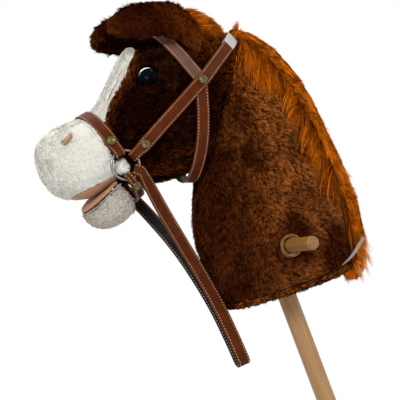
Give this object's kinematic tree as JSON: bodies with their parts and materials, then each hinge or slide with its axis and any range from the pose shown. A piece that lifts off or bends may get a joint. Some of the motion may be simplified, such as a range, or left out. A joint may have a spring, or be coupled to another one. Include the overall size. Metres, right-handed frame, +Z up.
{
  "type": "hobby horse",
  "caption": "Plush hobby horse: a stuffed horse's head on a wooden stick with a cross handle, a stitched bridle, bit rings and reins.",
  "frame": {"origin": "centre of the flat lower end of the stick", "axes": "+Z up along the stick, the horse faces -X and its left side is -Y"},
  "size_m": [0.3556, 0.24, 0.9477],
  "materials": {
    "wood": "sanded pine, clear",
    "plush": "long brown pile",
    "white_plush": "short matted white pile",
    "peach_cloth": "smooth peach lining cloth",
    "dark_nap": "short dark nap",
    "fibre": "loose polyester fibre",
    "eye_plastic": "glossy black",
    "washer_plastic": "natural",
    "mane_pile": "long orange-brown pile",
    "woven_tape": "pale woven tape",
    "binding": "ochre binding",
    "leatherette": "embossed brown leatherette with cream stitching",
    "elastic": "white woven elastic",
    "antique_brass": "antique, dark in the hollows",
    "steel": "polished"
  },
  "bodies": {
    "horse": {"stick": "wood", "handle_peg": "wood", "neck_cover": "plush", "head_cover": "plush", "base_panel": "plush", "ear_left": "plush", "ear_right": "plush", "blaze": "white_plush", "muzzle": "white_plush", "lower_jaw": "white_plush", "muzzle_lip": "peach_cloth", "jaw_lining": "peach_cloth", "nostril_left": "peach_cloth", "nostril_right": "peach_cloth", "ear_lining_left": "dark_nap", "ear_lining_right": "dark_nap", "stuffing": "fibre", "eye_left": "eye_plastic", "eye_right": "eye_plastic", "eye_washer_left": "washer_plastic", "eye_washer_right": "washer_plastic", "mane": "mane_pile", "forelock": "mane_pile", "mane_backing": "woven_tape", "peg_binding_left": "binding", "peg_binding_right": "binding", "noseband": "leatherette", "cheek_strap_left": "leatherette", "cheek_strap_right": "leatherette", "browband": "leatherette", "throat_lash": "leatherette", "chin_strap": "leatherette", "crown_elastic": "elastic", "nose_rivet_left": "antique_brass", "nose_rivet_right": "antique_brass", "cheek_rivet_left": "antique_brass", "cheek_rivet_right": "antique_brass", "chin_rivet_left": "antique_brass", "chin_rivet_right": "antique_brass", "junction_rivet_left": "antique_brass", "junction_rivet_right": "antique_brass"},
    "bit_ring_left": {"bit_ring_left": "steel"},
    "bit_ring_right": {"bit_ring_right": "steel"},
    "reins": {"reins": "leatherette"}
  },
  "joints": [
    {"name": "bit_ring_left_turn", "type": "hinge", "parent": "horse", "child": "bit_ring_left", "pos_m": [-0.1465, -0.051, 0.784], "axis": [0, 1, 0], "continuous": true},
    {"name": "bit_ring_right_turn", "type": "hinge", "parent": "horse", "child": "bit_ring_right", "pos_m": [-0.1465, 0.051, 0.784], "axis": [0, 1, 0], "continuous": true},
    {"name": "reins_swing", "type": "hinge", "parent": "horse", "child": "reins", "pos_m": [-0.1465, 0, 0.784], "axis": [0, 1, 0], "range_deg": [-1, 0]}
  ]
}
